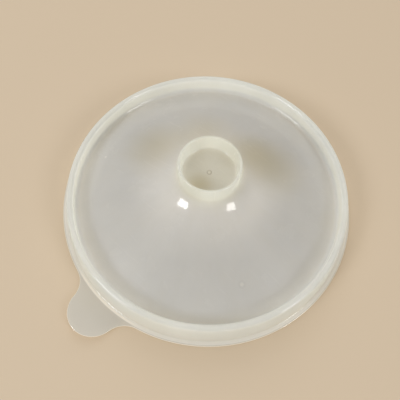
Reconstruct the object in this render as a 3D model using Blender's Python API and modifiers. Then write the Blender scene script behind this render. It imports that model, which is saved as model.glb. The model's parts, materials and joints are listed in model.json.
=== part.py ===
"""Flexible push-on lid of a food bowl, with a cupped centre grip and a finger tab.

The lid stands on its flange at z = 0, its turning axis is parallel to Z, and the pull tab points along -Y.
It is one moulding. Each section of it with its own job is its own solid, a hair's breadth from the next.
"""

import math

import bpy
import bmesh
from mathutils import Vector

MM = 0.001

# Driving dimensions
FLANGE_RADIUS = 82.5 * MM
FLANGE_THICKNESS = 1.2 * MM
SKIRT_FOOT_RADIUS = 79.9 * MM
RIM_WALL = 1.0 * MM
CROWN_HEIGHT = 16.5 * MM
CROWN_OUTER_RADIUS = 77.0 * MM
CROWN_INNER_RADIUS = 73.8 * MM
PANEL_WALL = 1.2 * MM
PANEL_EDGE_HEIGHT = 5.4 * MM
PANEL_EDGE_RADIUS = 74.6 * MM
PANEL_SLOPE = math.radians(22)
FLARE_FOOT_RADIUS = 27.0 * MM
COLLAR_FOOT_RADIUS = 16.5 * MM
COLLAR_FOOT_HEIGHT = 33.4 * MM
COLLAR_TOP_RADIUS = 16.2 * MM
COLLAR_TOP_HEIGHT = 42.2 * MM
WELL_TOP_RADIUS = 15.1 * MM
WELL_FLOOR_RADIUS = 14.5 * MM
WELL_FLOOR_HEIGHT = 32.4 * MM
GATE_RADIUS = 1.3 * MM
GATE_HEIGHT = 0.3 * MM
TAB_LOBE_RADIUS = 13.4 * MM
TAB_LOBE_DISTANCE = 87.6 * MM
TAB_FILLET_RADIUS = 12.5 * MM
TAB_THICKNESS = 1.2 * MM
TAB_LIFT = math.radians(10)
GAP = 0.3 * MM

TURN_STEPS = 72
ARC_STEPS = 6
FLARE_STEPS = 10
FLARE_PULL = 0.6  # share of the way to the corner that each end of the flare curve aims
COLLAR_SHARE = 0.85  # where along the flare curve the collar begins
TAB_ARC_STEPS = 14
EDGE_ROUND = 0.25 * MM
MERGE = 0.001 * MM
ROOT_STEP = 0.15  # radians along the tab's concave round at which it stands clear of the flange's edge

ROOT_REACH = FLANGE_RADIUS + GAP / 3  # the rim's share of the tab ends on this straight line
HINGE_DISTANCE = ROOT_REACH + GAP / 2
TAB_REACH = (
    HINGE_DISTANCE
    + (TAB_LOBE_DISTANCE + TAB_LOBE_RADIUS - HINGE_DISTANCE) * math.cos(TAB_LIFT)
    + TAB_THICKNESS * math.sin(TAB_LIFT)
)
LID_AXIS_Y = (TAB_REACH - FLANGE_RADIUS) / 2  # centres the whole outline on the origin


def clear_scene():
    """Start from an empty scene."""
    for item in list(bpy.data.objects):
        bpy.data.objects.remove(item, do_unlink=True)


def collection(name):
    """A collection of this name, linked to the scene."""
    made = bpy.data.collections.new(name)
    bpy.context.scene.collection.children.link(made)
    return made


def plastic(name, colour, roughness):
    """Milky polyethylene of one tint."""
    made = bpy.data.materials.new(name)
    made.use_nodes = True
    shader = made.node_tree.nodes["Principled BSDF"]
    shader.inputs["Base Color"].default_value = (*colour, 1)
    shader.inputs["Roughness"].default_value = roughness
    shader.inputs["Metallic"].default_value = 0
    return made


def arc(centre, radius, start, end, steps):
    """Points of an arc in a flat plane, angles in degrees, both ends included."""
    points = []
    for i in range(steps + 1):
        angle = math.radians(start + (end - start) * i / steps)
        points.append((centre[0] + radius * math.cos(angle), centre[1] + radius * math.sin(angle)))
    return points


def cone_height(radius):
    """Height of the panel's upper face where it is a plain cone."""
    return PANEL_EDGE_HEIGHT + (PANEL_EDGE_RADIUS - radius) * math.tan(PANEL_SLOPE)


def flare_point(t):
    """Point of the curve that turns the cone into the upright collar, from t = 0 on the cone."""
    corner = Vector((COLLAR_FOOT_RADIUS, cone_height(COLLAR_FOOT_RADIUS)))
    start = Vector((FLARE_FOOT_RADIUS, cone_height(FLARE_FOOT_RADIUS)))
    end = Vector((COLLAR_FOOT_RADIUS, COLLAR_FOOT_HEIGHT))
    leave = start.lerp(corner, FLARE_PULL)
    arrive = end.lerp(corner, FLARE_PULL)
    s = 1 - t
    return start * s**3 + leave * 3 * s * s * t + arrive * 3 * s * t * t + end * t**3


def flare(start, end, steps):
    """Points of the flare curve from one share of it to another."""
    return [tuple(flare_point(start + (end - start) * i / steps)) for i in range(steps + 1)]


def profile_object(name, points, closed):
    """An outline of radius and height pairs, drawn in the XZ plane."""
    mesh = bpy.data.meshes.new(name)
    count = len(points)
    edges = [(i, i + 1) for i in range(count - 1)]
    if closed:
        edges.append((count - 1, 0))
    mesh.from_pydata([(r, 0, z) for r, z in points], edges, [])
    return bpy.data.objects.new(name, mesh)


def turned(name, points, closed, material, parent, parts):
    """A body of revolution about the parent's Z axis."""
    body = profile_object(name, points, closed)
    parts.objects.link(body)
    body.parent = parent
    body.data.materials.append(material)
    screw = body.modifiers.new("turn", "SCREW")
    screw.angle = math.tau
    screw.steps = TURN_STEPS
    screw.render_steps = TURN_STEPS
    screw.use_merge_vertices = True
    screw.merge_threshold = MERGE
    screw.use_smooth_shade = True
    return body


def as_mesh(item, parts):
    """Swap an object for a plain mesh of its evaluated shape."""
    graph = bpy.context.evaluated_depsgraph_get()
    mesh = bpy.data.meshes.new_from_object(item.evaluated_get(graph))
    work = bmesh.new()
    work.from_mesh(mesh)
    bmesh.ops.remove_doubles(work, verts=work.verts, dist=MERGE)
    work.to_mesh(mesh)
    work.free()
    made = bpy.data.objects.new(item.name + "_mesh", mesh)
    made.matrix_world = item.matrix_world.copy()
    parts.objects.link(made)
    bpy.data.objects.remove(item, do_unlink=True)
    return made


def rim_profile():
    """The upturned U of the sealing rim, down its outer face, round the flange and back up the inner wall."""
    crown_radius = (CROWN_OUTER_RADIUS - CROWN_INNER_RADIUS) / 2
    crown = ((CROWN_OUTER_RADIUS + CROWN_INNER_RADIUS) / 2, CROWN_HEIGHT - crown_radius)
    wall_foot_height = PANEL_EDGE_HEIGHT - PANEL_WALL
    flange_edge = (FLANGE_RADIUS - EDGE_ROUND, FLANGE_THICKNESS - EDGE_ROUND)
    points = arc(crown, crown_radius, 180, 0, 2 * ARC_STEPS)
    points.append((SKIRT_FOOT_RADIUS, FLANGE_THICKNESS))
    points += arc(flange_edge, EDGE_ROUND, 90, 0, 2)
    points.append((FLANGE_RADIUS, 0))
    points.append((SKIRT_FOOT_RADIUS - RIM_WALL, 0))
    points += arc(crown, crown_radius - RIM_WALL, 0, 180, ARC_STEPS)
    points.append((PANEL_EDGE_RADIUS + RIM_WALL, wall_foot_height))
    points.append((PANEL_EDGE_RADIUS, wall_foot_height))
    return points


def fillet_centre():
    """Centre of the concave round between the flange and the tab's lobe, distance out and across."""
    to_axis = FLANGE_RADIUS + TAB_FILLET_RADIUS
    to_lobe = TAB_LOBE_RADIUS + TAB_FILLET_RADIUS
    out = (to_axis**2 - to_lobe**2 + TAB_LOBE_DISTANCE**2) / (2 * TAB_LOBE_DISTANCE)
    return out, math.sqrt(to_axis**2 - out**2)


def fillet_angle(distance):
    """Angle on the concave round at a distance out from the lid's axis, zero at the tab's waist."""
    return math.asin((distance - fillet_centre()[0]) / TAB_FILLET_RADIUS)


def fillet_points(start, end):
    """The +X side of the concave round between two of its angles, given as across and out."""
    out, across = fillet_centre()
    points = []
    for i in range(ARC_STEPS + 1):
        angle = start + (end - start) * i / ARC_STEPS
        x = across - TAB_FILLET_RADIUS * math.cos(angle)
        points.append((x, out + TAB_FILLET_RADIUS * math.sin(angle)))
    return points


def plate(name, half, thickness, parts):
    """A flat plate, mirror-symmetric about X = 0, from the +X half of its outline."""
    outline = half + [(-x, y) for x, y in reversed(half) if x > MERGE]
    curve = bpy.data.curves.new(name, "CURVE")
    curve.dimensions = "2D"
    curve.fill_mode = "BOTH"
    curve.extrude = thickness / 2
    spline = curve.splines.new("POLY")
    spline.points.add(len(outline) - 1)
    for point, (x, y) in zip(spline.points, outline):
        point.co = (x, -y, 0, 1)
    spline.use_cyclic_u = True
    body = bpy.data.objects.new(name, curve)
    parts.objects.link(body)
    return body


def sealing_rim(axis, material, parts, cutters):
    """Inner wall, round crown, flared skirt and flat flange, with the root that carries the tab."""
    rim = turned("sealing_rim", rim_profile(), True, material, axis, parts)
    overlap = 1 - RIM_WALL / FLANGE_RADIUS
    touch = -math.asin(fillet_centre()[0] / (FLANGE_RADIUS + TAB_FILLET_RADIUS))
    side = fillet_points(touch + ROOT_STEP, fillet_angle(ROOT_REACH))
    root = [(0, FLANGE_RADIUS * overlap), (side[0][0] * overlap, side[0][1] * overlap)] + side
    inset = EDGE_ROUND / 4
    pad = plate("tab_root", root, FLANGE_THICKNESS - 2 * inset, cutters)
    pad.location = (0, LID_AXIS_Y, FLANGE_THICKNESS / 2)
    bpy.context.view_layer.update()
    pad = as_mesh(pad, cutters)
    pad.hide_render = True
    pad.display_type = "WIRE"
    union = rim.modifiers.new("tab_root", "BOOLEAN")
    union.operation = "UNION"
    union.solver = "EXACT"
    union.object = pad
    return rim


def shell(name, points, material, parent, parts):
    """A turned wall of the panel's thickness below its upper face."""
    body = turned(name, points, False, material, parent, parts)
    wall = body.modifiers.new("wall", "SOLIDIFY")
    wall.thickness = PANEL_WALL
    wall.offset = -1
    wall.use_even_offset = True
    return body


def cover_panel(axis, material, parts):
    """The shallow cone recessed inside the rim."""
    lean = PANEL_WALL * math.tan(PANEL_SLOPE) / 2
    edge = PANEL_EDGE_RADIUS - GAP - lean
    inner = FLARE_FOOT_RADIUS + GAP
    points = [(r, cone_height(r)) for r in (inner, (inner + edge) / 2, edge)]
    return shell("cover_panel", points, material, axis, parts)


def collar_flare(axis, material, parts):
    """The trumpet that turns the cone up into the collar."""
    points = list(reversed(flare(0, COLLAR_SHARE, FLARE_STEPS)))
    return shell("collar_flare", points, material, axis, parts)


def grip_collar(axis, material, parts):
    """The upright cup wall in the middle, with the last of the flare as its foot."""
    foot = list(reversed(flare(COLLAR_SHARE, 1, ARC_STEPS // 2)))
    foot_height = foot[-1][1] + GAP
    foot[-1] = (foot[-1][0] - GAP / 4, foot_height)
    lip_height = COLLAR_TOP_HEIGHT - EDGE_ROUND
    points = arc((WELL_TOP_RADIUS + EDGE_ROUND, lip_height), EDGE_ROUND, 180, 90, 2)
    points += arc((COLLAR_TOP_RADIUS - EDGE_ROUND, lip_height), EDGE_ROUND, 90, 0, 2)
    points += foot
    points.append((WELL_FLOOR_RADIUS, foot_height))
    return turned("grip_collar", points, True, material, axis, parts)


def collar_floor(axis, material, parts):
    """The web that closes the collar's cup, with the low stub of the moulding gate on it."""
    top = WELL_FLOOR_HEIGHT
    edge = WELL_FLOOR_RADIUS - GAP
    points = [
        (0, top + GATE_HEIGHT),
        (GATE_RADIUS - EDGE_ROUND, top + GATE_HEIGHT),
        (GATE_RADIUS, top),
        (edge, top),
        (edge, top - PANEL_WALL),
        (0, top - PANEL_WALL),
    ]
    return turned("collar_floor", points, False, material, axis, parts)


def pull_tab(axis, material, parts):
    """The finger tab, flat, hinged along the line where it leaves the flange and resting a little raised."""
    hinge = bpy.data.objects.new("tab_hinge", None)
    parts.objects.link(hinge)
    hinge.parent = axis
    hinge.location = (0, -HINGE_DISTANCE, FLANGE_THICKNESS)
    hinge.rotation_euler = (-TAB_LIFT, 0, 0)
    out, across = fillet_centre()
    meet = math.atan2(out - TAB_LOBE_DISTANCE, across)
    side = fillet_points(fillet_angle(ROOT_REACH + GAP), -meet)
    lobe = arc((0, TAB_LOBE_DISTANCE), TAB_LOBE_RADIUS, math.degrees(meet), 90, TAB_ARC_STEPS)
    half = side + lobe[1:]
    tab = plate("pull_tab", [(x, y - HINGE_DISTANCE) for x, y in half], TAB_THICKNESS, parts)
    tab.parent = hinge
    tab.location = (0, 0, -TAB_THICKNESS / 2)
    tab.data.materials.append(material)
    return tab


def main():
    """Build the lid."""
    clear_scene()
    parts = collection("bowl_lid")
    cutters = collection("cutters")
    axis = bpy.data.objects.new("lid_axis", None)
    parts.objects.link(axis)
    axis.location = (0, LID_AXIS_Y, 0)
    bpy.context.view_layer.update()
    sealing_rim(axis, plastic("rim_plastic", (0.66, 0.65, 0.56), 0.32), parts, cutters)
    cover_panel(axis, plastic("panel_plastic", (0.52, 0.51, 0.48), 0.3), parts)
    collar_flare(axis, plastic("flare_plastic", (0.58, 0.57, 0.53), 0.3), parts)
    grip_collar(axis, plastic("collar_plastic", (0.72, 0.7, 0.62), 0.32), parts)
    collar_floor(axis, plastic("floor_plastic", (0.57, 0.53, 0.45), 0.36), parts)
    pull_tab(axis, plastic("tab_plastic", (0.55, 0.53, 0.47), 0.34), parts)
    bpy.context.view_layer.update()


main()
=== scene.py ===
"""Looks of the bowl lid: one milky polyethylene moulding that bends at the root of its pull tab."""

import json
import math

import bpy
import numpy as np
from mathutils import Matrix, Vector


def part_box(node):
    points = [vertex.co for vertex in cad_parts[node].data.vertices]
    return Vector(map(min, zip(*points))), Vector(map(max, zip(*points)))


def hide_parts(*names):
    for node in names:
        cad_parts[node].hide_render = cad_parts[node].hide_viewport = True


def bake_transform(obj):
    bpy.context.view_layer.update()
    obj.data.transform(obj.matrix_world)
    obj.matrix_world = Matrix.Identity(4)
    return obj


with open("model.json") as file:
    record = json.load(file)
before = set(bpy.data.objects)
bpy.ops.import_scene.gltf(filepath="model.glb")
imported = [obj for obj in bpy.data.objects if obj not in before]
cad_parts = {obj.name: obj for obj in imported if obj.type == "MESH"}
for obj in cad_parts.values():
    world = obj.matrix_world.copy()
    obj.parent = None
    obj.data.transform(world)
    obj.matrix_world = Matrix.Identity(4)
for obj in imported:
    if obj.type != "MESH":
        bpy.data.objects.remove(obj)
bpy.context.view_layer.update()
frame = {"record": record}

MM = 0.001

# ---------------------------------------------------------------- sizes read from the CAD frame

_, rim_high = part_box("sealing_rim")
_, collar_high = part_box("grip_collar")
floor_low, floor_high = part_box("collar_floor")
hinge = frame["record"]["behaviour"]["joints"][0]

AXIS_Y = (floor_low.y + floor_high.y) / 2
FLANGE_RADIUS = rim_high.x
FLANGE_THICKNESS = hinge["pos_m"][2]
CROWN_HEIGHT = rim_high.z
COLLAR_TOP = collar_high.z
HINGE_OUT = AXIS_Y - hinge["pos_m"][1]

# ---------------------------------------------------------------- sizes of the moulding that no box gives

PANEL_WALL = 1.2 * MM
RIM_WALL = 1.0 * MM

# The rim: radii of its crown, skirt and groove, and the rounding of their corners. FLANGE_START and
# UNDERSIDE_START are where the turned section meets the rows of the flange.
CROWN_INNER = 73.8 * MM
CROWN_OUTER = 77.0 * MM
CROWN_ROUND = 1.45 * MM
GROOVE_ROUND = 0.55 * MM
SKIRT_FOOT = 79.9 * MM
SKIRT_FOOT_ROUND = 0.5 * MM
FLANGE_START = SKIRT_FOOT + 0.6 * MM
GROOVE_MOUTH = SKIRT_FOOT - RIM_WALL
GROOVE_MOUTH_ROUND = 0.3 * MM
UNDERSIDE_START = GROOVE_MOUTH + 0.4 * MM

# The panel: a plain cone from the rim's inner wall up to the flare. The trough is where it meets that wall.
PANEL_EDGE = 74.6 * MM
PANEL_EDGE_HEIGHT = 5.4 * MM
PANEL_SLOPE = math.radians(22)
TROUGH_ROUND = 1.8 * MM
TROUGH_REACH = 8 * MM

# The flare, the collar and the cup. The flare's pull draws its curve towards the corner it rounds.
FLARE_FOOT = 27.0 * MM
FLARE_PULL = 0.6
COLLAR_FOOT = 16.5 * MM
COLLAR_FOOT_HEIGHT = 33.4 * MM
COLLAR_LIP = 16.2 * MM
COLLAR_LIP_ROUND = 0.45 * MM
CUP_LIP = 15.1 * MM
CUP_LIP_ROUND = 0.35 * MM
CUP_FOOT = 14.5 * MM
CUP_FOOT_ROUND = 1.0 * MM

# The gate's stub on the cup's floor, a little lower than in the CAD, and the shallow ring pressed round it.
GATE_STUB_HEIGHT = floor_high.z - floor_low.z - PANEL_WALL
GATE_STUB_SHOWN = 0.8
GATE_STUB_RADIUS = 0.5 * MM
GATE_RING_RADIUS = 1.15 * MM
GATE_RING_WIDTH = 0.3 * MM
GATE_RING_DEPTH = 0.12 * MM
CUP_FLOOR = floor_high.z - GATE_STUB_HEIGHT

# The underside of the cup's floor: where the flare stops below it, and the corner that joins them.
CUP_UNDERSIDE = CUP_FLOOR - PANEL_WALL
CUP_UNDERSIDE_GAP = 1.2 * MM
CUP_UNDERSIDE_LEAN = 0.25 * MM
CUP_UNDERSIDE_ROUND = 0.9 * MM
CUP_UNDERSIDE_CENTRE = 0.8 * MM

# The pull tab: a round lobe, filleted into the flange, which rests raised past its bend. TAB_REACH is how far
# across from the tab's middle the flange can be raised with it.
LOBE_RADIUS = 13.4 * MM
LOBE_OUT = 87.6 * MM
LOBE_FILLET = 12.5 * MM
TAB_LIFT = math.radians(10)
TAB_REACH = 2.5 * LOBE_RADIUS
BEND_HALF = 2.0 * MM
EDGE_ROUND = 0.4 * MM

# How finely the skin is divided. Spans and steps of columns are in degrees round the axis.
COLUMN_STEP = 1.5
TAB_COLUMN_STEP = 0.5
TAB_SPAN = 17.0
ARC_STEP = math.radians(14)
RUN_STEP = 2.2 * MM
SHORTEST_RUN = 0.0001 * MM
FLARE_STEPS = 28
GATE_STEP = 0.2 * MM
GATE_ROWS = 12
TAB_ROWS = 12
FILLET_STEPS = 40
LOBE_STEPS = 60
LEAD_STEPS = 7

# The rows of the rounded cut edge: turns round each of its two centres, in degrees, and the centre's height.
EDGE_TURNS = (
    ((60, 30, 0), FLANGE_THICKNESS - EDGE_ROUND),
    ((0, -30, -60, -90), EDGE_ROUND),
)
EDGE_ROWS = sum(len(turns) for turns, _ in EDGE_TURNS)


# ---------------------------------------------------------------- the section, as radius and height

def cone_height(radius):
    """Height of the panel's upper face on its plain cone."""
    return PANEL_EDGE_HEIGHT + (PANEL_EDGE - radius) * math.tan(PANEL_SLOPE)


def flare_curve():
    """The curve from the collar's foot down and out to the cone."""
    corner = Vector((COLLAR_FOOT, cone_height(COLLAR_FOOT)))
    top = Vector((COLLAR_FOOT, COLLAR_FOOT_HEIGHT))
    foot = Vector((FLARE_FOOT, cone_height(FLARE_FOOT)))
    leave = top.lerp(corner, FLARE_PULL)
    arrive = foot.lerp(corner, FLARE_PULL)
    points = []
    for i in range(FLARE_STEPS + 1):
        t = i / FLARE_STEPS
        s = 1 - t
        points.append(top * s**3 + leave * 3 * s * s * t + arrive * 3 * s * t * t + foot * t**3)
    return points


def offset_curve(points, distance):
    """The same curve moved along its normals, away from the upper side."""
    moved = []
    for i, point in enumerate(points):
        along = (points[min(i + 1, len(points) - 1)] - points[max(i - 1, 0)]).normalized()
        moved.append(point + Vector((along.y, -along.x)) * distance)
    return moved


def round_corners(corners):
    """Points of a path through (radius, height, rounding) corners, each rounded corner an arc."""
    path = []
    for i, (r, z, rounding) in enumerate(corners):
        here = Vector((r, z))
        if rounding == 0 or i in (0, len(corners) - 1):
            path.append(here)
            continue
        back = (Vector(corners[i - 1][:2]) - here).normalized()
        ahead = (Vector(corners[i + 1][:2]) - here).normalized()
        half = back.angle(ahead) / 2
        reach = rounding / math.tan(half)
        centre = here + (back + ahead).normalized() * (rounding / math.sin(half))
        start = here + back * reach - centre
        turn = math.pi - 2 * half
        if back.x * ahead.y - back.y * ahead.x > 0:
            turn = -turn
        steps = max(3, math.ceil(abs(turn) / ARC_STEP))
        for n in range(steps + 1):
            angle = turn * n / steps
            turned = Vector((
                start.x * math.cos(angle) - start.y * math.sin(angle),
                start.x * math.sin(angle) + start.y * math.cos(angle),
            ))
            path.append(centre + turned)
    return path


def divided(path):
    """The same path with every run no longer than RUN_STEP."""
    points = [path[0]]
    for a, b in zip(path, path[1:]):
        length = (b - a).length
        if length < SHORTEST_RUN:
            continue
        steps = max(1, math.ceil(length / RUN_STEP))
        points += [a.lerp(b, n / steps) for n in range(1, steps + 1)]
    return points


def gate_height(radius):
    """The gate's stub and the ring pressed round it, added to the height of the cup's floor."""
    stub = GATE_STUB_HEIGHT * GATE_STUB_SHOWN * math.exp(-((radius / GATE_STUB_RADIUS) ** 2))
    ring = GATE_RING_DEPTH * math.exp(-(((radius - GATE_RING_RADIUS) / GATE_RING_WIDTH) ** 2))
    return stub - ring


def upper_section():
    """From the centre of the cup's floor over collar, panel, crown and skirt to the flange's upper face."""
    gate_radii = [n * GATE_STEP for n in range(1, GATE_ROWS + 1)]
    gate = [Vector((radius, CUP_FLOOR + gate_height(radius))) for radius in gate_radii]
    cup = round_corners([
        (gate[-1].x, CUP_FLOOR, 0),
        (CUP_FOOT, CUP_FLOOR, CUP_FOOT_ROUND),
        (CUP_LIP, COLLAR_TOP, CUP_LIP_ROUND),
        (COLLAR_LIP, COLLAR_TOP, COLLAR_LIP_ROUND),
        (COLLAR_FOOT, COLLAR_FOOT_HEIGHT, 0),
    ])
    outer = round_corners([
        (FLARE_FOOT, cone_height(FLARE_FOOT), 0),
        (PANEL_EDGE, PANEL_EDGE_HEIGHT, TROUGH_ROUND),
        (CROWN_INNER, CROWN_HEIGHT, CROWN_ROUND),
        (CROWN_OUTER, CROWN_HEIGHT, CROWN_ROUND),
        (SKIRT_FOOT, FLANGE_THICKNESS, SKIRT_FOOT_ROUND),
        (FLANGE_START, FLANGE_THICKNESS, 0),
    ])
    return divided(gate + cup[1:-1] + flare_curve() + outer[1:])


def lower_section():
    """From the skirt's inner foot up the groove, down the inner wall and under the panel to the centre."""
    groove = CROWN_HEIGHT - RIM_WALL
    panel_under = PANEL_WALL / math.cos(PANEL_SLOPE)
    wall_foot = PANEL_EDGE + RIM_WALL
    trough_end = PANEL_EDGE - TROUGH_REACH
    rim = round_corners([
        (UNDERSIDE_START, 0, 0),
        (GROOVE_MOUTH, 0, GROOVE_MOUTH_ROUND),
        (CROWN_OUTER - RIM_WALL, groove, GROOVE_ROUND),
        (CROWN_INNER + RIM_WALL, groove, GROOVE_ROUND),
        (wall_foot, cone_height(wall_foot) - panel_under, TROUGH_ROUND + RIM_WALL),
        (trough_end, cone_height(trough_end) - panel_under, 0),
    ])
    flare = list(reversed(offset_curve(flare_curve(), PANEL_WALL)))
    flare = [point for point in flare if point.y < CUP_UNDERSIDE - CUP_UNDERSIDE_GAP]
    cup = round_corners([
        (flare[-1].x, flare[-1].y, 0),
        (flare[-1].x - CUP_UNDERSIDE_LEAN, CUP_UNDERSIDE, CUP_UNDERSIDE_ROUND),
        (CUP_UNDERSIDE_CENTRE, CUP_UNDERSIDE, 0),
    ])
    return divided(rim + flare + cup[1:])


# ---------------------------------------------------------------- the plan outline of flange and tab

def tab_outline():
    """The +X half of the tab's edge, from the flange round the fillet to the tip, as (across, out)."""
    to_axis = FLANGE_RADIUS + LOBE_FILLET
    to_lobe = LOBE_RADIUS + LOBE_FILLET
    out = (to_axis**2 - to_lobe**2 + LOBE_OUT**2) / (2 * LOBE_OUT)
    across = math.sqrt(to_axis**2 - out**2)
    touch = -math.asin(out / to_axis)
    meet = math.atan2(out - LOBE_OUT, across)
    points = []
    for i in range(FILLET_STEPS + 1):
        angle = touch + (-meet - touch) * i / FILLET_STEPS
        points.append((across - LOBE_FILLET * math.cos(angle), out + LOBE_FILLET * math.sin(angle)))
    for i in range(1, LOBE_STEPS + 1):
        angle = meet + (math.pi / 2 - meet) * i / LOBE_STEPS
        points.append((LOBE_RADIUS * math.cos(angle), LOBE_OUT + LOBE_RADIUS * math.sin(angle)))
    return np.array(points)


def columns():
    """Azimuths from the tab's middle, in degrees, close together where the tab grows out."""
    near = np.arange(-TAB_SPAN, TAB_SPAN + TAB_COLUMN_STEP / 2, TAB_COLUMN_STEP)
    far = np.linspace(TAB_SPAN, 360 - TAB_SPAN, round((360 - 2 * TAB_SPAN) / COLUMN_STEP) + 1)
    return np.concatenate([near, far[1:-1]])


def edge_points(azimuths):
    """Where each column meets the edge, as (across, out), the tab's share spread evenly along its outline."""
    half = tab_outline()
    arc_start = math.atan2(half[0][0], half[0][1])
    arc_angles = np.linspace(math.radians(TAB_SPAN), arc_start, LEAD_STEPS + 1)[:-1]
    lead = np.stack([FLANGE_RADIUS * np.sin(arc_angles), FLANGE_RADIUS * np.cos(arc_angles)], 1)
    half = np.concatenate([lead, half])
    length = np.concatenate([[0], np.cumsum(np.linalg.norm(np.diff(half, axis=0), axis=1))])
    points = []
    for azimuth in azimuths:
        if azimuth > TAB_SPAN:
            angle = math.radians(azimuth)
            points.append((FLANGE_RADIUS * math.sin(angle), FLANGE_RADIUS * math.cos(angle)))
            continue
        share = (1 - abs(azimuth) / TAB_SPAN) * length[-1]
        across = np.interp(share, length, half[:, 0])
        points.append((math.copysign(across, azimuth), np.interp(share, length, half[:, 1])))
    return np.array(points)


def edge_normals(edge):
    """The outline's outward normals, one at each of its points."""
    along = np.roll(edge, -1, axis=0) - np.roll(edge, 1, axis=0)
    normals = np.stack([-along[:, 1], along[:, 0]], 1)
    normals /= np.linalg.norm(normals, axis=1)[:, None]
    return normals * np.sign((normals * edge).sum(1))[:, None]


def lifted(plan, height):
    """Points of flange or tab in the row frame, the tab raised by its rest angle past the bend."""
    across, out = plan[:, 0], plan[:, 1]
    past = out - HINGE_OUT
    start = past + BEND_HALF
    ramp = np.where(start <= 0, 0, np.where(past >= BEND_HALF, past, start**2 / (4 * BEND_HALF)))
    ramp = np.where(np.abs(across) < TAB_REACH, ramp, 0)
    lift = ramp * math.sin(TAB_LIFT)
    short = ramp * (1 - math.cos(TAB_LIFT))
    return np.stack([across, AXIS_Y - (out - short), height + lift], -1)


# ---------------------------------------------------------------- the moulding's mesh

def turned_ring(point, angles):
    """One ring of the body of revolution."""
    across = point.x * np.sin(angles)
    out = point.x * np.cos(angles)
    return np.stack([across, AXIS_Y - out, np.full_like(across, point.y)], -1)


def flange_rings(upper, lower, angles, edge):
    """Rings over the flange and tab, round their edge and back along the underside."""
    directions = np.stack([np.sin(angles), np.cos(angles)], 1)
    start = directions * upper.x
    finish = directions * lower.x
    normals = edge_normals(edge)
    inner = edge - normals * EDGE_ROUND
    rings = []
    for row in range(1, TAB_ROWS + 1):
        rings.append(lifted(start + (inner - start) * (row / TAB_ROWS), FLANGE_THICKNESS))
    for turns, centre in EDGE_TURNS:
        for degrees in turns:
            angle = math.radians(degrees)
            plan = inner + normals * EDGE_ROUND * math.cos(angle)
            rings.append(lifted(plan, centre + EDGE_ROUND * math.sin(angle)))
    for row in range(1, TAB_ROWS):
        rings.append(lifted(inner + (finish - inner) * (row / TAB_ROWS), 0))
    return rings


def skin_faces(ring_count, count):
    """Quads between rings of count points, and a fan of triangles to the pole at each end."""
    faces = []
    for ring in range(ring_count - 1):
        for k in range(count):
            a = ring * count + k
            b = ring * count + (k + 1) % count
            faces.append((a, a + count, b + count, b))
    pole = ring_count * count
    last = (ring_count - 1) * count
    for k in range(count):
        after = (k + 1) % count
        faces.append((pole, k, after))
        faces.append((pole + 1, last + after, last + k))
    return faces


def moulding():
    """The whole lid as one closed skin, from the gate's stub round to the underside's centre."""
    azimuths = columns()
    angles = np.radians(azimuths)
    upper = upper_section()
    lower = lower_section()
    rings = [turned_ring(point, angles) for point in upper]
    rings += flange_rings(upper[-1], lower[0], angles, edge_points(azimuths))
    rings += [turned_ring(point, angles) for point in lower]
    poles = [(0, AXIS_Y, CUP_FLOOR + gate_height(0)), (0, AXIS_Y, lower[-1].y)]
    vertices = np.concatenate(rings + [np.array(poles)])

    count = len(azimuths)
    mesh = bpy.data.meshes.new("lid_moulding")
    mesh.from_pydata([tuple(vertex) for vertex in vertices], [], skin_faces(len(rings), count))
    mesh.shade_smooth()

    # The plastic's patterns follow where a point is at rest, so they bend with the tab.
    rest = mesh.attributes.new("rest_place", "FLOAT_VECTOR", "POINT")
    rest.data.foreach_set("vector", vertices.astype(np.float32).ravel())
    on_edge = np.zeros(len(vertices), dtype=np.float32)
    first_edge = (len(upper) + TAB_ROWS) * count
    on_edge[first_edge:first_edge + EDGE_ROWS * count] = 1
    cut_edge = mesh.attributes.new("cut_edge", "FLOAT", "POINT")
    cut_edge.data.foreach_set("value", on_edge)

    piece = bpy.data.objects.new("lid_moulding", mesh)
    bpy.context.scene.collection.objects.link(piece)
    return piece


# ---------------------------------------------------------------- shader nodes

def connect(tree, socket, value):
    """A socket linked to another socket, or set to a value."""
    if isinstance(value, bpy.types.NodeSocket):
        tree.links.new(value, socket)
    else:
        socket.default_value = value


def add_node(tree, kind, label, **inputs):
    """A shader node with its named inputs set."""
    node = tree.nodes.new(kind)
    node.label = label
    for name, value in inputs.items():
        connect(tree, node.inputs[name], value)
    return node


def maths(tree, operation, *values):
    """One step of arithmetic."""
    node = tree.nodes.new("ShaderNodeMath")
    node.operation = operation
    for socket, value in zip(node.inputs, values):
        connect(tree, socket, value)
    return node.outputs[0]


def product(tree, first, *others):
    """Values multiplied together."""
    for other in others:
        first = maths(tree, "MULTIPLY", first, other)
    return first


def total(tree, first, *others):
    """Values added together."""
    for other in others:
        first = maths(tree, "ADD", first, other)
    return first


def vector_maths(tree, operation, vector, other):
    """One step of arithmetic with a vector and a fixed one."""
    node = add_node(tree, "ShaderNodeVectorMath", operation.lower(), Vector=vector)
    node.operation = operation
    node.inputs[1].default_value = other
    return node.outputs["Value" if operation == "DISTANCE" else "Vector"]


def fade(tree, value, start, end, at_start=0.0, at_end=1.0):
    """A smooth step from at_start to at_end while value goes from start to end, upwards or downwards."""
    node = tree.nodes.new("ShaderNodeMapRange")
    node.interpolation_type = "SMOOTHSTEP"
    tree.links.new(value, node.inputs["Value"])
    node.inputs["From Min"].default_value = start
    node.inputs["From Max"].default_value = end
    node.inputs["To Min"].default_value = at_start
    node.inputs["To Max"].default_value = at_end
    return node.outputs["Result"]


def mixed(tree, share, a, b, kind="MIX"):
    """Two colours mixed, the second one by the share."""
    node = tree.nodes.new("ShaderNodeMix")
    node.data_type = "RGBA"
    node.blend_type = kind
    for socket, value in ((node.inputs[0], share), (node.inputs[6], a), (node.inputs[7], b)):
        connect(tree, socket, (*value, 1) if isinstance(value, tuple) else value)
    return node.outputs[2]


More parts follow.
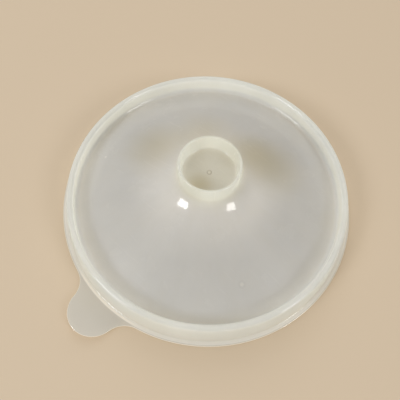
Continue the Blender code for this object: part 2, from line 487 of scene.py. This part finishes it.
def mixed_shaders(tree, share, a, b):
    """Two shaders mixed, the second one by the share."""
    node = tree.nodes.new("ShaderNodeMixShader")
    for socket, value in zip(node.inputs, (share, a, b)):
        connect(tree, socket, value)
    return node.outputs[0]


def noise(tree, place, scale, detail, roughness=0.5):
    """A noise value at a place, the scale in features per metre."""
    node = add_node(tree, "ShaderNodeTexNoise", "noise", Vector=place, Scale=scale, Detail=detail,
                    Roughness=roughness)
    return node.outputs["Fac"]


def distance_from(tree, place, spot):
    """How far the place is from a spot on the moulding, seen from above."""
    flat = vector_maths(tree, "MULTIPLY", place, (1, 1, 0))
    return vector_maths(tree, "DISTANCE", flat, spot)


# ---------------------------------------------------------------- the plastic

# Tints of the wall. The rim, the collar and the panel near the collar are painted paler than the rest of the
# panel, as painted light for the light those parts gather.
PANEL_TINT_AT_COLLAR = (0.82, 0.83, 0.83)
PANEL_TINT = (0.715, 0.728, 0.73)
# Painted light in the trough, which lifts the shade the rim casts on the panel's edge.
TROUGH_PAINTED_LIGHT_TINT = (0.77, 0.785, 0.79)
TAB_TINT = (0.65, 0.625, 0.565)
RIM_TINT = (0.838, 0.845, 0.822)
COLLAR_TINT = (0.905, 0.915, 0.87)
FLANGE_TINT = (0.79, 0.78, 0.735)
CUP_FLOOR_TINT = (0.775, 0.78, 0.735)
PAINTED_EDGE_LIGHT_TINT = (0.95, 0.91, 0.82)

# Where each part fades in, from the radius or height where it starts to the one where it is full.
PANEL_TINT_FADE = (COLLAR_FOOT, 0.64 * PANEL_EDGE)
TROUGH_PAINTED_LIGHT_FADE = (PANEL_EDGE - 11 * MM, PANEL_EDGE - 2 * MM)
INNER_WALL_FADE = (PANEL_EDGE - 4 * MM, PANEL_EDGE - 2 * MM)
INNER_WALL_RISE = (PANEL_EDGE_HEIGHT, PANEL_EDGE_HEIGHT + 5 * MM)
CROWN_FADE = (PANEL_EDGE + 0.4 * MM, CROWN_OUTER)
FLANGE_FADE = (SKIRT_FOOT - 0.8 * MM, SKIRT_FOOT + 0.2 * MM)
TAB_FADE = (FLANGE_RADIUS - 1.4 * MM, FLANGE_RADIUS - 0.4 * MM)
COLLAR_RISE = (COLLAR_FOOT_HEIGHT - 7 * MM, COLLAR_FOOT_HEIGHT + 1 * MM)
CUP_FADE = (CUP_FOOT + 0.4 * MM, CUP_FOOT - 3.0 * MM)

# The mark of the gate: a dark ring round a bright dot.
GATE_RING_TINT = (0.42, 0.39, 0.32)
GATE_RING_SHARE = 0.55
GATE_RING_RISE = (0.6 * MM, 1.0 * MM)
GATE_RING_FALL = (1.6 * MM, 1.2 * MM)
GATE_DOT_TINT = (0.92, 0.90, 0.84)
GATE_DOT_SHARE = 0.6
GATE_DOT_FADE = (0.7 * MM, 0.4 * MM)

# Noises, as scale, detail and roughness.
CLOUDS = (45.0, 4.0, 0.6)
FLOW = (7.0, 5.0, 0.65)
HAIRLINES = (1.0, 2.0, 0.4)
BLOOM = (260.0, 3.0)
GRAIN = (1800.0, 2.0)
PEEL = (420.0, 3.0)
SMUDGE = (70.0, 4.0, 0.6)

# Clouding and flow marks: the noise values that they lie between, and their shares at those two values. The
# flow marks change more slowly along the radius than round it.
CLOUD_TINT = (0.92, 0.93, 0.95)
CLOUD_FADE = (0.3, 0.7, 0.0, 0.35)
FLOW_TINT = (0.93, 0.92, 0.88)
FLOW_FADE = (0.35, 0.75, 0.0, 0.22)
FLOW_ALONG_RADIUS = 6.0

# Wear: hairlines, which are long in one direction, and a paler bloom on the crown and the collar's lip.
HAIRLINE_STRETCH = (60, 900, 60)
HAIRLINE_FADE = (0.66, 0.74)
BLOOM_TINT = (0.9, 0.89, 0.84)
BLOOM_SHARE = 0.5
CROWN_BLOOM = (CROWN_HEIGHT - 1.2 * MM, CROWN_HEIGHT)
LIP_BLOOM = (COLLAR_TOP - 0.8 * MM, COLLAR_TOP)

# Painted light: a pale painted glow along the cut edge, and a painted highlight line on the flange at the
# tab's root.
CUT_EDGE_FADE = (0.7, 1.0)
ROOT_LINE_SHARE = 0.7
ROOT_LINE_RISE = (FLANGE_RADIUS - 2.1 * MM, FLANGE_RADIUS - 1.5 * MM)
ROOT_LINE_FALL = (FLANGE_RADIUS - 0.5 * MM, FLANGE_RADIUS - 1.1 * MM)
ROOT_LINE_TOP = (3.0 * MM, 2.0 * MM)
ROOT_LINE_ACROSS = (24 * MM, 15 * MM)
ROOT_LINE_FRONT = (-60 * MM, -70 * MM)

# Brown painted shadows: behind the collar on the flare, where the collar's shadows fall, and on the near side
# of the cup's floor, in the shade of its near wall. Each is a spot from the axis, reach and share.
PAINTED_SHADOW_TINT = (0.62, 0.58, 0.42)
PAINTED_SHADOW_SPOTS = (
    ((6 * MM, 28 * MM, 0), 22 * MM, 0.42),
    ((20 * MM, 32 * MM, 0), 24 * MM, 0.36),
    ((-22 * MM, 20 * MM, 0), 24 * MM, 0.3),
    ((-37 * MM, -3 * MM, 0), 24 * MM, 0.36),
    ((1 * MM, -9 * MM, 0), 10 * MM, 0.5),
)

# A shallow dimple near the right of the panel, and a small pale nick near its left: spots from the axis, and
# the distances from them between which each mark fades.
DIMPLE = (48.5 * MM, -28.5 * MM, 0)
DIMPLE_PIT = (1.9 * MM, 0.3 * MM)
DIMPLE_SHADE_TINT = (0.5, 0.5, 0.5)
DIMPLE_SHADE_SHARE = 0.12
DIMPLE_SHADE_OUTER = (2.4 * MM, 1.6 * MM)
DIMPLE_SHADE_INNER = (0.8 * MM, 1.5 * MM)
DIMPLE_HEART_TINT = (0.95, 0.94, 0.9)
DIMPLE_HEART_SHARE = 0.3
DIMPLE_HEART = (1.2 * MM, 0.4 * MM)
NICK = (-58.2 * MM, -23.8 * MM, 0)
NICK_TINT = (0.95, 0.95, 0.93)
NICK_SHARE = 0.5
NICK_FADE = (0.9 * MM, 0.4 * MM)

# The surface: a satin body under a clear, glossy coat, and what each noise adds to its roughness and height.
BODY_IOR = 1.5
COAT_IOR = 1.75
COAT_ROUGHNESS = 0.045
BODY_ROUGHNESS = 0.2
SMUDGE_ROUGHNESS = 0.12
RIM_ROUGHNESS = 0.08
HAIRLINE_ROUGHNESS = 0.08
GRAIN_HEIGHT = 0.15
RIM_GRAIN_HEIGHT = 0.6
PEEL_HEIGHT = 0.8
HAIRLINE_DEPTH = 0.12
PIT_DEPTH = 3.0
BUMP_STRENGTH = 0.25
BUMP_HEIGHT = 0.05 * MM

# Light through the wall: the share of the body that glows with it, less in flange and tab, and the share of
# direct light that passes straight, less in the thick collar.
GLOW_FADE = (SKIRT_FOOT - 0.5 * MM, SKIRT_FOOT + 0.5 * MM, 0.63, 0.3)
PASSED_TINT = (1.0, 0.975, 0.93, 1)
PASSED_FADE = (COLLAR_FOOT_HEIGHT - 7 * MM, COLLAR_FOOT_HEIGHT, 0.76, 0.45)


class Places:
    """Node values for where a point lies on the lid at rest, and from 0 to 1 how far it is in each part."""

    def __init__(self, tree):
        rest = add_node(tree, "ShaderNodeAttribute", "rest place")
        rest.attribute_name = "rest_place"
        self.place = vector_maths(tree, "SUBTRACT", rest.outputs["Vector"], (0, AXIS_Y, 0))
        split = add_node(tree, "ShaderNodeSeparateXYZ", "x y z", Vector=self.place)
        self.x, self.y, self.z = split.outputs
        squares = total(tree, product(tree, self.x, self.x), product(tree, self.y, self.y))
        self.radius = maths(tree, "SQRT", squares)

        inner_wall = product(tree, fade(tree, self.radius, *INNER_WALL_FADE),
                             fade(tree, self.z, *INNER_WALL_RISE))
        self.rim = maths(tree, "MAXIMUM", inner_wall, fade(tree, self.radius, *CROWN_FADE))
        self.walls = product(tree, self.rim, fade(tree, self.radius, *reversed(TAB_FADE)))
        self.flange = product(tree, fade(tree, self.radius, *FLANGE_FADE), self.walls)
        self.tab = fade(tree, self.radius, *TAB_FADE)
        # Where the trough's painted light lifts the rim's shade off the panel.
        self.trough = fade(tree, self.radius, *TROUGH_PAINTED_LIGHT_FADE)
        self.collar = fade(tree, self.z, *COLLAR_RISE)
        self.cup = product(tree, fade(tree, self.radius, *CUP_FADE), self.collar)


def wall_tint(tree, on):
    """The wall's tint, with painted light: paler near the collar, on the rim and on the collar for the light
    they gather, and in the trough against the rim's shade.
    """
    colour = mixed(tree, fade(tree, on.radius, *PANEL_TINT_FADE), PANEL_TINT_AT_COLLAR, PANEL_TINT)
    for share, tint in (
        (on.trough, TROUGH_PAINTED_LIGHT_TINT),
        (on.tab, TAB_TINT),
        (on.walls, RIM_TINT),
        (on.collar, COLLAR_TINT),
        (on.flange, FLANGE_TINT),
        (on.cup, CUP_FLOOR_TINT),
    ):
        colour = mixed(tree, share, colour, tint)
    return colour


def with_gate_mark(tree, on, colour):
    """The ring and the dot of the gate, at the centre of the cup's floor."""
    ring = product(tree, fade(tree, on.radius, *GATE_RING_RISE), fade(tree, on.radius, *GATE_RING_FALL))
    dot = fade(tree, on.radius, *GATE_DOT_FADE)
    colour = mixed(tree, product(tree, ring, on.collar, GATE_RING_SHARE), colour, GATE_RING_TINT)
    return mixed(tree, product(tree, dot, on.collar, GATE_DOT_SHARE), colour, GATE_DOT_TINT)


def with_clouding(tree, on, colour):
    """Faint clouding of the resin, and flow marks that run out from the gate."""
    clouds = noise(tree, on.place, *CLOUDS)
    colour = mixed(tree, fade(tree, clouds, *CLOUD_FADE), colour, CLOUD_TINT, "MULTIPLY")
    angle = maths(tree, "ARCTAN2", on.y, on.x)
    spread = add_node(tree, "ShaderNodeCombineXYZ", "flow", X=maths(tree, "SINE", angle),
                      Y=maths(tree, "COSINE", angle), Z=product(tree, on.radius, FLOW_ALONG_RADIUS))
    flow = noise(tree, spread.outputs["Vector"], *FLOW)
    return mixed(tree, fade(tree, flow, *FLOW_FADE), colour, FLOW_TINT, "MULTIPLY")


def with_bloom(tree, on, colour):
    """A paler bloom of wear along the crown and the collar's lip."""
    crown = product(tree, fade(tree, on.z, *CROWN_BLOOM), on.rim)
    worn = maths(tree, "MAXIMUM", crown, fade(tree, on.z, *LIP_BLOOM))
    share = product(tree, worn, noise(tree, on.place, *BLOOM), BLOOM_SHARE)
    return mixed(tree, share, colour, BLOOM_TINT)


def with_painted_edge_light(tree, on, colour):
    """Painted light: a pale painted glow along the cut edge and a painted highlight line at the tab's root.
    """
    edge = add_node(tree, "ShaderNodeAttribute", "cut edge")
    edge.attribute_name = "cut_edge"
    root = product(
        tree,
        fade(tree, on.radius, *ROOT_LINE_RISE),
        fade(tree, on.radius, *ROOT_LINE_FALL),
        fade(tree, on.z, *ROOT_LINE_TOP),
        fade(tree, maths(tree, "ABSOLUTE", on.x), *ROOT_LINE_ACROSS),
        fade(tree, on.y, *ROOT_LINE_FRONT),
        ROOT_LINE_SHARE,
    )
    # The painted glow and painted highlight line, whichever is stronger.
    bright = maths(tree, "MAXIMUM", fade(tree, edge.outputs["Fac"], *CUT_EDGE_FADE), root)
    return mixed(tree, bright, colour, PAINTED_EDGE_LIGHT_TINT)


def with_painted_shadows(tree, on, colour):
    """Brown painted shadows, behind the collar on the flare and on the near side of the cup's floor."""
    # Each spot darkens the colour towards brown as painted shadow.
    for spot, reach, share in PAINTED_SHADOW_SPOTS:
        painted_shadow = fade(tree, distance_from(tree, on.place, spot), reach, 0.0, 0.0, share)
        colour = mixed(tree, painted_shadow, colour, PAINTED_SHADOW_TINT)
    return colour


def with_marks(tree, on, colour, dimple):
    """The dimple's shaded ring and pale heart, and the nick."""
    nick = distance_from(tree, on.place, NICK)
    shade = product(tree, fade(tree, dimple, *DIMPLE_SHADE_OUTER), fade(tree, dimple, *DIMPLE_SHADE_INNER))
    for mark, share, tint in (
        (shade, DIMPLE_SHADE_SHARE, DIMPLE_SHADE_TINT),
        (fade(tree, dimple, *DIMPLE_HEART), DIMPLE_HEART_SHARE, DIMPLE_HEART_TINT),
        (fade(tree, nick, *NICK_FADE), NICK_SHARE, NICK_TINT),
    ):
        colour = mixed(tree, product(tree, mark, share), colour, tint)
    return colour


def surface(tree, on, dimple):
    """Roughness and bumped normal, from smudges, moulded grain, orange peel, hairlines and the dimple."""
    hair_place = vector_maths(tree, "MULTIPLY", on.place, HAIRLINE_STRETCH)
    hairs = fade(tree, noise(tree, hair_place, *HAIRLINES), *HAIRLINE_FADE)
    rough = total(
        tree,
        BODY_ROUGHNESS,
        product(tree, noise(tree, on.place, *SMUDGE), SMUDGE_ROUGHNESS),
        product(tree, on.rim, RIM_ROUGHNESS),
        product(tree, hairs, HAIRLINE_ROUGHNESS),
    )
    grain = total(tree, GRAIN_HEIGHT, product(tree, on.rim, RIM_GRAIN_HEIGHT))
    height = total(
        tree,
        product(tree, noise(tree, on.place, *GRAIN), grain),
        product(tree, noise(tree, on.place, *PEEL), PEEL_HEIGHT),
        product(tree, hairs, -HAIRLINE_DEPTH),
        product(tree, fade(tree, dimple, *DIMPLE_PIT), -PIT_DEPTH),
    )
    bump = add_node(tree, "ShaderNodeBump", "surface", Strength=BUMP_STRENGTH, Distance=BUMP_HEIGHT,
                    Height=height)
    return rough, bump.outputs["Normal"]


def milky_plastic():
    """Natural polyethylene: cloudy and glossy, with light through its thin wall, flow marks and fine wear,
    and painted light and painted shadows in its colour.
    """
    made = bpy.data.materials.new("milky_polyethylene")
    made.use_nodes = True
    tree = made.node_tree
    on = Places(tree)
    dimple = distance_from(tree, on.place, DIMPLE)

    colour = wall_tint(tree, on)
    for layer in (with_gate_mark, with_clouding, with_bloom, with_painted_edge_light, with_painted_shadows):
        colour = layer(tree, on, colour)
    colour = with_marks(tree, on, colour, dimple)
    rough, normal = surface(tree, on, dimple)

    body = tree.nodes["Principled BSDF"]
    tree.links.new(colour, body.inputs["Base Color"])
    tree.links.new(rough, body.inputs["Roughness"])
    tree.links.new(normal, body.inputs["Normal"])
    body.inputs["IOR"].default_value = BODY_IOR
    body.inputs["Coat Weight"].default_value = 1.0
    body.inputs["Coat IOR"].default_value = COAT_IOR
    body.inputs["Coat Roughness"].default_value = COAT_ROUGHNESS

    glow = add_node(tree, "ShaderNodeBsdfTranslucent", "light through the wall", Color=colour, Normal=normal)
    wall = mixed_shaders(tree, fade(tree, on.radius, *GLOW_FADE), body.outputs[0], glow.outputs[0])

    # Only shadow rays see the clear shader, so the wall stays milky to the eye and its shadow is pale.
    clear = add_node(tree, "ShaderNodeBsdfTransparent", "straight through", Color=PASSED_TINT)
    rays = tree.nodes.new("ShaderNodeLightPath")
    passed = product(tree, rays.outputs["Is Shadow Ray"], fade(tree, on.z, *PASSED_FADE))
    passing = mixed_shaders(tree, passed, wall, clear.outputs[0])
    tree.links.new(passing, tree.nodes["Material Output"].inputs["Surface"])
    return made


# ---------------------------------------------------------------- floor, light and camera

FLOOR_TINT = (0.57, 0.47, 0.35, 1)
FLOOR_ROUGHNESS = 0.75
FLOOR_SPECULAR = 0.2
FLOOR_SIZE = 3
FLOOR_GAP = 0.1 * MM  # keeps the floor off the flange's flat underside

# Lights, as name, azimuth from the camera's right and elevation in degrees, distance, width and height in
# metres, watts, colour, and whether they show as highlights.
LIGHTS = (
    ("window_right", -34, 34.5, 1.6, 0.42, 0.52, 8.5, (1.0, 0.98, 0.96), True),
    ("window_left", 213, 36.3, 1.6, 0.47, 0.50, 12.5, (1.0, 1.0, 1.0), True),
    ("ceiling", 95, 62, 1.8, 1.4, 1.0, 6.5, (1.0, 0.985, 0.97), False),
    ("far_wall", 95, 35, 1.8, 1.4, 1.0, 12.5, (1.0, 0.98, 0.96), False),
)
ROOM_TINT = (1.0, 0.95, 0.88, 1)
ROOM_STRENGTH = 0.28

# The camera: its distance and aim are from the lid's axis.
CAMERA_TURN = math.radians(39.3)  # from the camera's own left-right axis to the row frame
CAMERA_ELEVATION = math.radians(65.2)
CAMERA_ROLL = math.radians(3.15)
CAMERA_DISTANCE = 3.06 * FLANGE_RADIUS
CAMERA_AIM = Vector((-0.049, -0.013, 0)) * FLANGE_RADIUS
SENSOR_WIDTH = 36
FOCAL_LENGTH = 38.97


def floor_material():
    """Plain pale floor."""
    made = bpy.data.materials.new("pale_floor")
    made.use_nodes = True
    shader = made.node_tree.nodes["Principled BSDF"]
    shader.inputs["Base Color"].default_value = FLOOR_TINT
    shader.inputs["Roughness"].default_value = FLOOR_ROUGHNESS
    shader.inputs["Specular IOR Level"].default_value = FLOOR_SPECULAR
    return made


def studio_floor():
    """A plain floor under the lid."""
    bpy.ops.mesh.primitive_plane_add(size=FLOOR_SIZE, location=(0, 0, -FLOOR_GAP))
    floor = bpy.context.object
    floor.name = "studio_floor"
    floor.data.materials.append(floor_material())


def from_camera_side(azimuth, elevation, distance):
    """A place around the lid, azimuth from the camera's right, in degrees, seen from the lid's axis."""
    a = math.radians(azimuth) + CAMERA_TURN
    e = math.radians(elevation)
    return Vector((
        distance * math.cos(e) * math.cos(a),
        AXIS_Y + distance * math.cos(e) * math.sin(a),
        distance * math.sin(e),
    ))


def soft_light(name, azimuth, elevation, distance, width, height, power, colour, highlights):
    """A soft rectangular light that faces the lid."""
    data = bpy.data.lights.new(name, "AREA")
    data.shape = "RECTANGLE"
    data.size = width
    data.size_y = height
    data.energy = power
    data.color = colour
    light = bpy.data.objects.new(name, data)
    bpy.context.scene.collection.objects.link(light)
    light.location = from_camera_side(azimuth, elevation, distance)
    to_lid = Vector((0, AXIS_Y, 0)) - light.location
    light.rotation_euler = to_lid.to_track_quat("-Z", "Y").to_euler()
    light.visible_glossy = highlights


def studio_light():
    """Two front windows, two lights for the back of the panel, and a pale even room."""
    for light in LIGHTS:
        soft_light(*light)
    world = bpy.data.worlds.new("room")
    bpy.context.scene.world = world
    world.use_nodes = True
    background = world.node_tree.nodes["Background"]
    background.inputs["Color"].default_value = ROOM_TINT
    background.inputs["Strength"].default_value = ROOM_STRENGTH
    bpy.context.scene.view_settings.view_transform = "Standard"


def camera():
    """The view down on the lid from its front right."""
    back = Vector((0, -math.cos(CAMERA_ELEVATION), math.sin(CAMERA_ELEVATION)))
    right = Vector((1, 0, 0))
    up = Vector((0, math.sin(CAMERA_ELEVATION), math.cos(CAMERA_ELEVATION)))
    leaning_right = right * math.cos(CAMERA_ROLL) + up * math.sin(CAMERA_ROLL)
    leaning_up = up * math.cos(CAMERA_ROLL) - right * math.sin(CAMERA_ROLL)
    place = Matrix((leaning_right, leaning_up, back)).transposed().to_4x4()
    place.translation = CAMERA_AIM + back * CAMERA_DISTANCE
    data = bpy.data.cameras.new("camera")
    data.sensor_width = SENSOR_WIDTH
    data.lens = FOCAL_LENGTH
    made = bpy.data.objects.new("camera", data)
    bpy.context.scene.collection.objects.link(made)
    turn = Matrix.Rotation(CAMERA_TURN, 4, "Z")
    made.matrix_world = Matrix.Translation((0, AXIS_Y, 0)) @ turn @ place
    bpy.context.scene.camera = made


# ---------------------------------------------------------------- the scene

camera()
studio_floor()
studio_light()

lid = moulding()
lid.data.materials.append(milky_plastic())
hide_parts("sealing_rim", "cover_panel", "collar_flare", "grip_collar", "collar_floor", "pull_tab")
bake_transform(lid)
